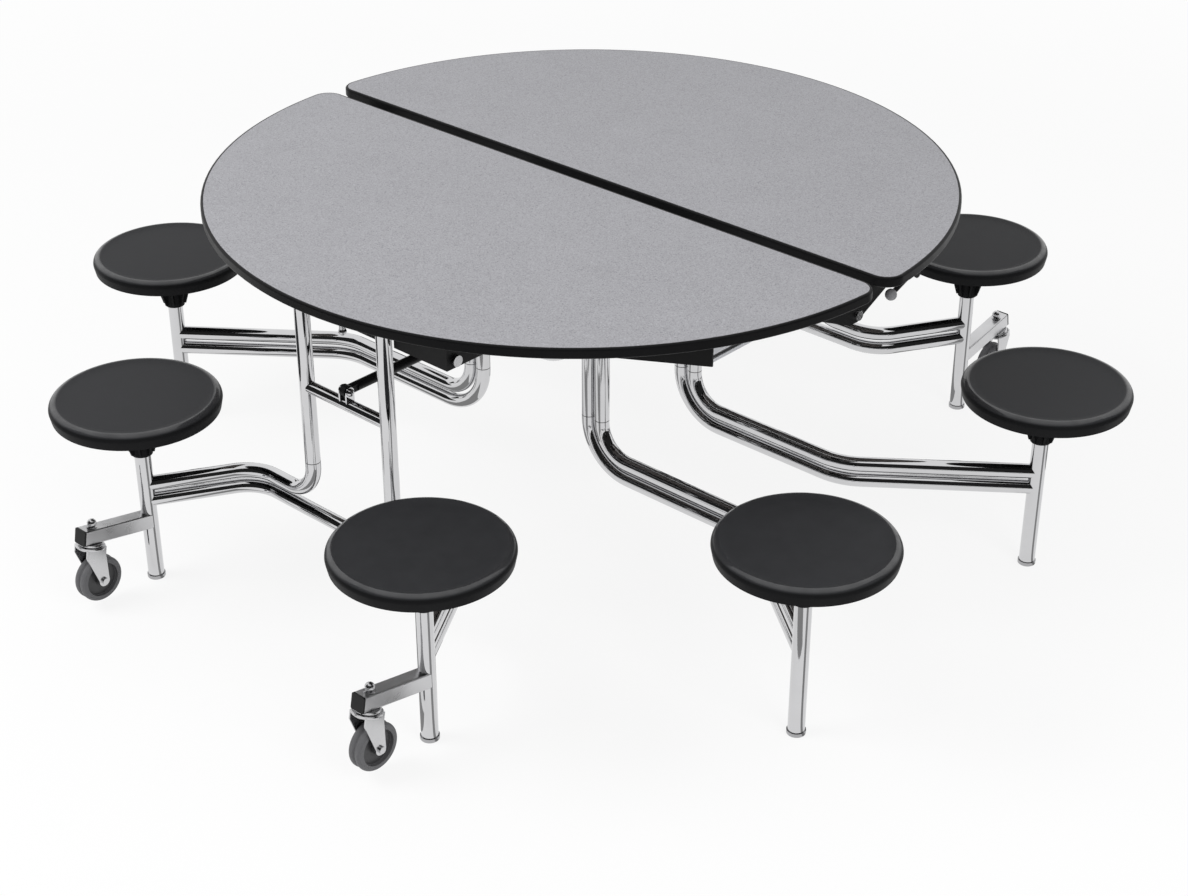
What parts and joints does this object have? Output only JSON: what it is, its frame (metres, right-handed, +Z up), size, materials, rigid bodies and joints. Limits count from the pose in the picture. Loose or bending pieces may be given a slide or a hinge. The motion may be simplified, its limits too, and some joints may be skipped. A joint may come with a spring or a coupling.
{
  "type": "folding table with attached swivel seats",
  "caption": "Round folding table in half tops joined by centre hinges, with swivel seats on bent chrome tube frames that link rods keep upright, and swivel casters.",
  "frame": {"origin": "on the floor under the centre of the table", "axes": "+Z up, +X along the gap between the half tops, the front half at -Y"},
  "size_m": [2.136, 2.0978, 0.737],
  "materials": {
    "laminate": "speckled grey laminate",
    "edge_vinyl": "black vinyl edge",
    "black_steel": "satin black",
    "rail": "plain",
    "zinc": "zinc plated",
    "chrome": "bright",
    "glide": "dull nickel",
    "plug": "black",
    "link_paint": "satin black",
    "lever": "black rod with grey knob",
    "seat": "moulded black, soft sheen",
    "wheel": "grey"
  },
  "bodies": {
    "front_caster_frame": {"front_legs": "chrome", "front_base_rail": "chrome", "front_leg_crossbar": "chrome", "front_caster_posts": "chrome", "front_caster_glides": "glide", "front_caster_arms": "chrome", "front_arm_plugs": "plug", "front_caster_stems": "zinc"},
    "front_top": {"front_top_board": "laminate", "front_edge_band": "edge_vinyl", "front_leg_housing": "black_steel", "front_riser_housing": "black_steel", "front_hinge_brackets": "black_steel", "front_latch_box": "black_steel", "front_latch_rail": "rail", "front_top_hardware": "zinc"},
    "front_seat_frame": {"front_seat_arms": "chrome", "front_riser_crossbar": "chrome", "front_riser_posts": "chrome", "front_riser_glides": "glide"},
    "front_link": {"front_link_rod": "link_paint"},
    "rear_caster_frame": {"rear_legs": "chrome", "rear_base_rail": "chrome", "rear_leg_crossbar": "chrome", "rear_caster_posts": "chrome", "rear_caster_glides": "glide", "rear_caster_arms": "chrome", "rear_arm_plugs": "plug", "rear_caster_stems": "zinc"},
    "rear_top": {"rear_top_board": "laminate", "rear_edge_band": "edge_vinyl", "rear_leg_housing": "black_steel", "rear_riser_housing": "black_steel", "rear_hinge_brackets": "black_steel", "rear_latch_box": "black_steel", "rear_latch_rail": "rail", "rear_top_hardware": "zinc", "lever_bracket": "black_steel"},
    "rear_seat_frame": {"rear_seat_arms": "chrome", "rear_riser_crossbar": "chrome", "rear_riser_posts": "chrome", "rear_riser_glides": "glide"},
    "rear_link": {"rear_link_rod": "link_paint"},
    "release_lever": {"release_lever": "lever"},
    "seat_1": {"seat_1": "seat"},
    "seat_2": {"seat_2": "seat"},
    "seat_3": {"seat_3": "seat"},
    "seat_4": {"seat_4": "seat"},
    "seat_5": {"seat_5": "seat"},
    "seat_6": {"seat_6": "seat"},
    "seat_7": {"seat_7": "seat"},
    "seat_8": {"seat_8": "seat"},
    "caster_fork_front_left": {"caster_fork_front_left": "zinc"},
    "caster_wheel_front_left": {"caster_wheel_front_left": "wheel"},
    "caster_fork_front_right": {"caster_fork_front_right": "zinc"},
    "caster_wheel_front_right": {"caster_wheel_front_right": "wheel"},
    "caster_fork_rear_left": {"caster_fork_rear_left": "zinc"},
    "caster_wheel_rear_left": {"caster_wheel_rear_left": "wheel"},
    "caster_fork_rear_right": {"caster_fork_rear_right": "zinc"},
    "caster_wheel_rear_right": {"caster_wheel_rear_right": "wheel"}
  },
  "joints": [
    {"name": "fold", "type": "hinge", "parent": "front_caster_frame", "child": "front_top", "pos_m": [0, -0.637, 0.655], "axis": [1, 0, 0], "range_deg": [0, 78]},
    {"name": "front_seat_frame_pivot", "type": "hinge", "parent": "front_top", "child": "front_seat_frame", "pos_m": [0, -0.12, 0.655], "axis": [1, 0, 0], "range_deg": [-78, 0]},
    {"name": "centre_hinge", "type": "hinge", "parent": "front_top", "child": "rear_top", "pos_m": [0, 0, 0.655], "axis": [1, 0, 0], "range_deg": [-156, 0]},
    {"name": "rear_seat_frame_pivot", "type": "hinge", "parent": "rear_top", "child": "rear_seat_frame", "pos_m": [0, 0.12, 0.655], "axis": [1, 0, 0], "range_deg": [0, 78]},
    {"name": "rear_caster_frame_pivot", "type": "hinge", "parent": "rear_top", "child": "rear_caster_frame", "pos_m": [0, 0.637, 0.655], "axis": [1, 0, 0], "range_deg": [0, 78]},
    {"name": "front_link_pivot", "type": "hinge", "parent": "front_caster_frame", "child": "front_link", "pos_m": [0, -0.665, 0.504], "axis": [1, 0, 0], "range_deg": [0, 78]},
    {"name": "rear_link_pivot", "type": "hinge", "parent": "rear_caster_frame", "child": "rear_link", "pos_m": [0, 0.665, 0.504], "axis": [1, 0, 0], "range_deg": [-78, 0]},
    {"name": "release_lever_pivot", "type": "hinge", "parent": "rear_top", "child": "release_lever", "pos_m": [0.725, 0.14, 0.703], "axis": [1, 0, 0], "range_deg": [0, 25], "stiffness_Nm_per_rad": 1, "springref_deg": -17.19},
    {"name": "seat_1_swivel", "type": "hinge", "parent": "rear_seat_frame", "child": "seat_1", "pos_m": [0.898, 0.393, 0.4], "axis": [0, 0, 1], "continuous": true},
    {"name": "seat_2_swivel", "type": "hinge", "parent": "rear_caster_frame", "child": "seat_2", "pos_m": [0.407, 0.862, 0.4], "axis": [0, 0, 1], "continuous": true},
    {"name": "seat_3_swivel", "type": "hinge", "parent": "rear_caster_frame", "child": "seat_3", "pos_m": [-0.407, 0.862, 0.4], "axis": [0, 0, 1], "continuous": true},
    {"name": "seat_4_swivel", "type": "hinge", "parent": "rear_seat_frame", "child": "seat_4", "pos_m": [-0.898, 0.393, 0.4], "axis": [0, 0, 1], "continuous": true},
    {"name": "seat_5_swivel", "type": "hinge", "parent": "front_seat_frame", "child": "seat_5", "pos_m": [-0.898, -0.393, 0.4], "axis": [0, 0, 1], "continuous": true},
    {"name": "seat_6_swivel", "type": "hinge", "parent": "front_caster_frame", "child": "seat_6", "pos_m": [-0.407, -0.862, 0.4], "axis": [0, 0, 1], "continuous": true},
    {"name": "seat_7_swivel", "type": "hinge", "parent": "front_caster_frame", "child": "seat_7", "pos_m": [0.407, -0.862, 0.4], "axis": [0, 0, 1], "continuous": true},
    {"name": "seat_8_swivel", "type": "hinge", "parent": "front_seat_frame", "child": "seat_8", "pos_m": [0.898, -0.393, 0.4], "axis": [0, 0, 1], "continuous": true},
    {"name": "caster_swivel_front_left", "type": "hinge", "parent": "front_caster_frame", "child": "caster_fork_front_left", "pos_m": [-0.407, -1.01006, 0.13722], "axis": [0, 0.1908, 0.9816], "continuous": true},
    {"name": "wheel_spin_front_left", "type": "hinge", "parent": "caster_fork_front_left", "child": "caster_wheel_front_left", "pos_m": [-0.407, -1.00084, 0.06412], "axis": [1, 0, 0], "continuous": true},
    {"name": "caster_swivel_front_right", "type": "hinge", "parent": "front_caster_frame", "child": "caster_fork_front_right", "pos_m": [0.407, -1.01006, 0.13722], "axis": [0, 0.1908, 0.9816], "continuous": true},
    {"name": "wheel_spin_front_right", "type": "hinge", "parent": "caster_fork_front_right", "child": "caster_wheel_front_right", "pos_m": [0.407, -1.00084, 0.06412], "axis": [1, 0, 0], "continuous": true},
    {"name": "caster_swivel_rear_left", "type": "hinge", "parent": "rear_caster_frame", "child": "caster_fork_rear_left", "pos_m": [-0.407, 1.01006, 0.13722], "axis": [0, -0.1908, 0.9816], "continuous": true},
    {"name": "wheel_spin_rear_left", "type": "hinge", "parent": "caster_fork_rear_left", "child": "caster_wheel_rear_left", "pos_m": [-0.407, 1.00084, 0.06412], "axis": [1, 0, 0], "continuous": true},
    {"name": "caster_swivel_rear_right", "type": "hinge", "parent": "rear_caster_frame", "child": "caster_fork_rear_right", "pos_m": [0.407, 1.01006, 0.13722], "axis": [0, -0.1908, 0.9816], "continuous": true},
    {"name": "wheel_spin_rear_right", "type": "hinge", "parent": "caster_fork_rear_right", "child": "caster_wheel_rear_right", "pos_m": [0.407, 1.00084, 0.06412], "axis": [1, 0, 0], "continuous": true}
  ],
  "couplings": [
    {"joint": "front_seat_frame_pivot", "follows": "fold", "ratio": -1},
    {"joint": "centre_hinge", "follows": "fold", "ratio": -2},
    {"joint": "rear_seat_frame_pivot", "follows": "fold", "ratio": 1},
    {"joint": "rear_caster_frame_pivot", "follows": "fold", "ratio": 1},
    {"joint": "front_link_pivot", "follows": "fold", "ratio": 1},
    {"joint": "rear_link_pivot", "follows": "fold", "ratio": -1}
  ]
}
